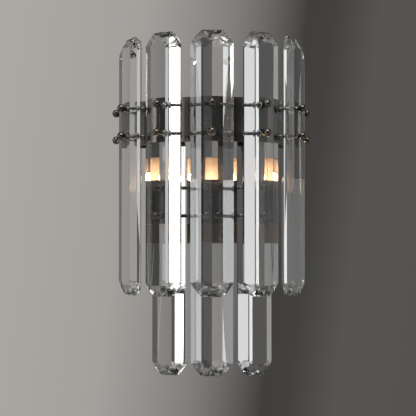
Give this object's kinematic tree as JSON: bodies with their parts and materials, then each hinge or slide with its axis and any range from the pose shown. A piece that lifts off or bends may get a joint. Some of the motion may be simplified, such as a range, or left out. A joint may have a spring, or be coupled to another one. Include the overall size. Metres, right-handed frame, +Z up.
{
  "type": "crystal wall sconce",
  "caption": "Tiered wall light: long faceted crystal bars bolted with ball nuts to curved dark bronze bands, with capsule lamps behind the lower tier and a shallow square backplate.",
  "frame": {"origin": "centre of the backplate on the wall plane, midway between the wall strap's two slots", "axes": "+X to the right as seen from the room, +Y into the wall, +Z up along the bars"},
  "size_m": [0.304, 0.2033, 0.497],
  "materials": {
    "crystal": "clear, cut and polished",
    "bronze": "satin dark bronze",
    "ball_bronze": "gloss dark bronze",
    "steel": "zinc plated",
    "ceramic": "fired, unglazed",
    "bulb_glass": "frosted",
    "pin_metal": "nickel plated",
    "brass": "turned",
    "sleeve": "braided sleeve",
    "grommet": "matt",
    "block": "moulded"
  },
  "bodies": {
    "fixture": {"backplate": "bronze", "block_screw": "steel", "cap_nuts": "ball_bronze", "earth_screw": "brass", "frame_nuts": "steel", "frame_screws": "steel", "frame_tee": "bronze", "holder_screws": "steel", "lamp_bracket": "bronze", "lamp_holder_left": "ceramic", "lamp_holder_right": "ceramic", "lamp_lead_left": "sleeve", "lamp_lead_right": "sleeve", "lead_grommets": "grommet", "lower_arm_left": "bronze", "lower_arm_right": "bronze", "lower_back_nuts": "steel", "lower_ball_finials": "ball_bronze", "lower_band": "bronze", "lower_crystal_1": "crystal", "lower_crystal_2": "crystal", "lower_crystal_3": "crystal", "lower_front_washers": "ball_bronze", "lower_standoffs": "steel", "lower_studs": "steel", "strap_lock_nuts": "steel", "strap_studs": "steel", "tab_nuts": "steel", "tab_screws": "steel", "terminal_block": "block", "upper_back_nuts": "steel", "upper_ball_finials": "ball_bronze", "upper_band": "bronze", "upper_crystal_1": "crystal", "upper_crystal_2": "crystal", "upper_crystal_3": "crystal", "upper_crystal_4": "crystal", "upper_crystal_5": "crystal", "upper_crystal_6": "crystal", "upper_crystal_7": "crystal", "upper_front_washers": "ball_bronze", "upper_standoffs": "steel", "upper_studs": "steel", "wall_strap": "steel"},
    "bulb_left": {"bulb_left": "bulb_glass", "bulb_left_pins": "pin_metal"},
    "bulb_right": {"bulb_right": "bulb_glass", "bulb_right_pins": "pin_metal"}
  },
  "joints": [
    {"name": "bulb_left_pull", "type": "slide", "parent": "fixture", "child": "bulb_left", "axis": [0, 0, 1], "range_m": [0, 0.016]},
    {"name": "bulb_right_pull", "type": "slide", "parent": "fixture", "child": "bulb_right", "axis": [0, 0, 1], "range_m": [0, 0.016]}
  ]
}
